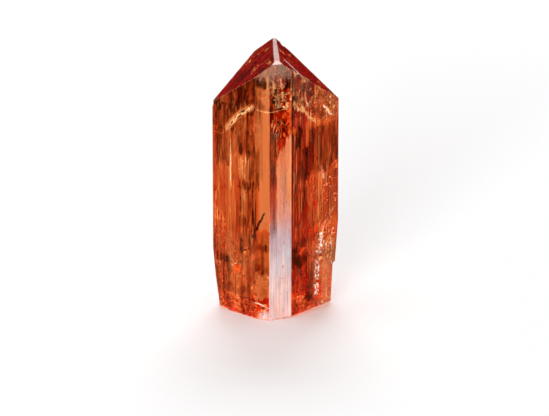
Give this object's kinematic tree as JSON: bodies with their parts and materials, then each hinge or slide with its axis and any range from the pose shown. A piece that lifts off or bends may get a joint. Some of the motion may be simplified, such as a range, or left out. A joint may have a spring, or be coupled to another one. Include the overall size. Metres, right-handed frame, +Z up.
{
  "type": "topaz crystal",
  "caption": "Upright orange-red topaz crystal: striated lozenge prism under a two-sided roof with a worn ridge, standing on its broken foot.",
  "frame": {"origin": "bottom centre of the bounding box, on the plane the crystal stands on", "axes": "+Z up along the crystal's length, -Y towards the front edge that faces the viewer, +X to the viewer's right"},
  "size_m": [0.024, 0.0228, 0.0501],
  "materials": {
    "topaz": "clear orange-red crystal with polished natural faces"
  },
  "bodies": {
    "root": {"crystal": "topaz"}
  },
  "joints": []
}
